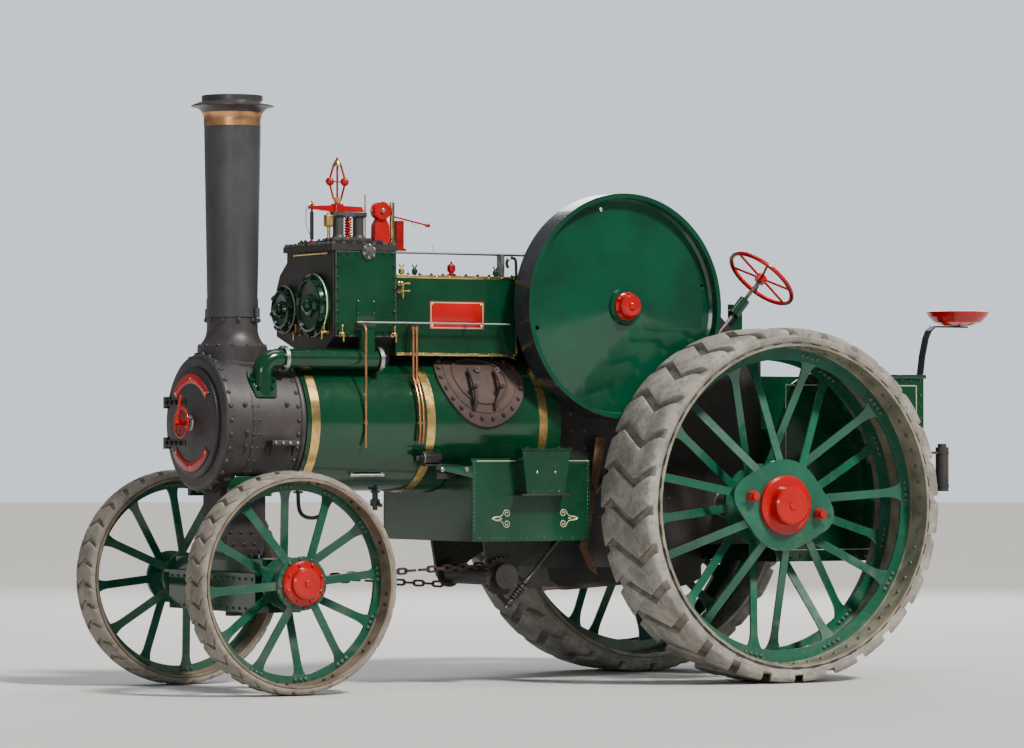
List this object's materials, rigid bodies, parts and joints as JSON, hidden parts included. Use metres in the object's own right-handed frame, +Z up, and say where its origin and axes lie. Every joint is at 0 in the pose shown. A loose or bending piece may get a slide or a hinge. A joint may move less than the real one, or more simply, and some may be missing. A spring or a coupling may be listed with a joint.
{
  "type": "steam traction engine",
  "caption": "Steam traction engine with a compound cylinder block over the boiler, spoked rubber shod wheels, flywheel, chain steering and a coal tender.",
  "frame": {"origin": "on the ground, at the middle of the engine's length and width", "axes": "+X forward, +Y to the engine's left, +Z up"},
  "size_m": [5.799, 2.236, 3.506],
  "materials": {
    "green_paint": "deep green gloss paint",
    "black_paint": "black paint, worn",
    "smokebox_black": "charcoal grey heat proof paint",
    "red_paint": "bright red gloss paint",
    "brass": "polished",
    "copper": "polished copper",
    "rubber": "dusty",
    "steel": "bare, oiled",
    "iron": "rusty"
  },
  "bodies": {
    "engine": {"smokebox": "smokebox_black", "chimney_base": "smokebox_black", "chimney_barrel": "smokebox_black", "chimney_bell": "copper", "boiler": "green_paint", "boiler_bands": "brass", "hornplates": "black_paint", "cylinder_block": "smokebox_black", "cylinder_cladding": "green_paint", "safety_valves": "smokebox_black", "governor_stand": "red_paint", "lubricators": "brass", "exhaust_pipe": "green_paint", "guide_box": "green_paint", "crank_cover": "black_paint", "gear_guard": "black_paint", "manhole": "iron", "belly_tank": "green_paint", "tank_filler": "green_paint", "perch_bracket": "black_paint", "steering_bracket_left": "black_paint", "steering_bracket_right": "black_paint", "steering_drum": "black_paint", "column_bearing": "black_paint", "chains_rear": "steel", "rear_axle": "steel", "tender": "green_paint", "seat_bracket": "green_paint", "seat": "red_paint", "drawbar": "black_paint", "rear_can": "smokebox_black", "copper_pipes": "copper", "control_rods": "steel"},
    "smokebox_door": {"smokebox_door": "smokebox_black", "door_handles": "red_paint"},
    "firehole_door": {"firehole_door": "black_paint"},
    "tank_lid": {"tank_lid": "green_paint"},
    "flywheel": {"flywheel": "green_paint", "crankshaft": "steel"},
    "governor": {"governor": "red_paint"},
    "steering_wheel": {"steering_wheel": "red_paint", "steering_shaft": "steel", "steering_worm": "steel"},
    "front_axle": {"front_axle": "green_paint", "chains_front": "steel"},
    "front_wheel_left": {"front_wheel_left": "green_paint", "front_cap_left": "red_paint", "front_tyre_left": "rubber"},
    "front_wheel_right": {"front_wheel_right": "green_paint", "front_cap_right": "red_paint", "front_tyre_right": "rubber"},
    "rear_wheel_left": {"rear_wheel_left": "green_paint", "rear_cap_left": "red_paint", "rear_tyre_left": "rubber"},
    "rear_wheel_right": {"rear_wheel_right": "green_paint", "rear_cap_right": "red_paint", "rear_tyre_right": "rubber"}
  },
  "joints": [
    {"name": "steer", "type": "hinge", "parent": "engine", "child": "front_axle", "pos_m": [2.2515, 0, 0.7], "axis": [0, 0, 1], "range_deg": [-30, 30]},
    {"name": "steering_wheel_turn", "type": "hinge", "parent": "engine", "child": "steering_wheel", "pos_m": [-1.2405, 0.347, 2.471], "axis": [-0.6756, 0, 0.7373], "range_deg": [-360, 360]},
    {"name": "smokebox_door_hinge", "type": "hinge", "parent": "engine", "child": "smokebox_door", "pos_m": [2.5285, -0.348, 1.575], "axis": [0, 0, -1], "range_deg": [0, 110]},
    {"name": "firehole_door_hinge", "type": "hinge", "parent": "engine", "child": "firehole_door", "pos_m": [-0.6625, 0.127, 1.445], "axis": [0, 0, -1], "range_deg": [0, 100]},
    {"name": "tank_lid_hinge", "type": "hinge", "parent": "engine", "child": "tank_lid", "pos_m": [0.4935, 0.562, 1.422], "axis": [1, 0, 0], "range_deg": [0, 100]},
    {"name": "flywheel_turn", "type": "hinge", "parent": "engine", "child": "flywheel", "pos_m": [-0.1355, 0, 2.285], "axis": [0, 1, 0], "continuous": true},
    {"name": "governor_turn", "type": "hinge", "parent": "engine", "child": "governor", "pos_m": [1.5625, 0, 3.02], "axis": [0, 0, 1], "continuous": true},
    {"name": "rear_wheel_left_turn", "type": "hinge", "parent": "engine", "child": "rear_wheel_left", "pos_m": [-0.9965, 0.838, 1.079], "axis": [0, 1, 0], "continuous": true},
    {"name": "front_wheel_left_turn", "type": "hinge", "parent": "front_axle", "child": "front_wheel_left", "pos_m": [2.2515, 0.7355, 0.648], "axis": [0, 1, 0], "continuous": true},
    {"name": "rear_wheel_right_turn", "type": "hinge", "parent": "engine", "child": "rear_wheel_right", "pos_m": [-0.9965, -0.838, 1.079], "axis": [0, 1, 0], "continuous": true},
    {"name": "front_wheel_right_turn", "type": "hinge", "parent": "front_axle", "child": "front_wheel_right", "pos_m": [2.2515, -0.7355, 0.648], "axis": [0, 1, 0], "continuous": true}
  ],
  "couplings": [
    {"joint": "steering_wheel_turn", "follows": "steer", "ratio": 12}
  ]
}
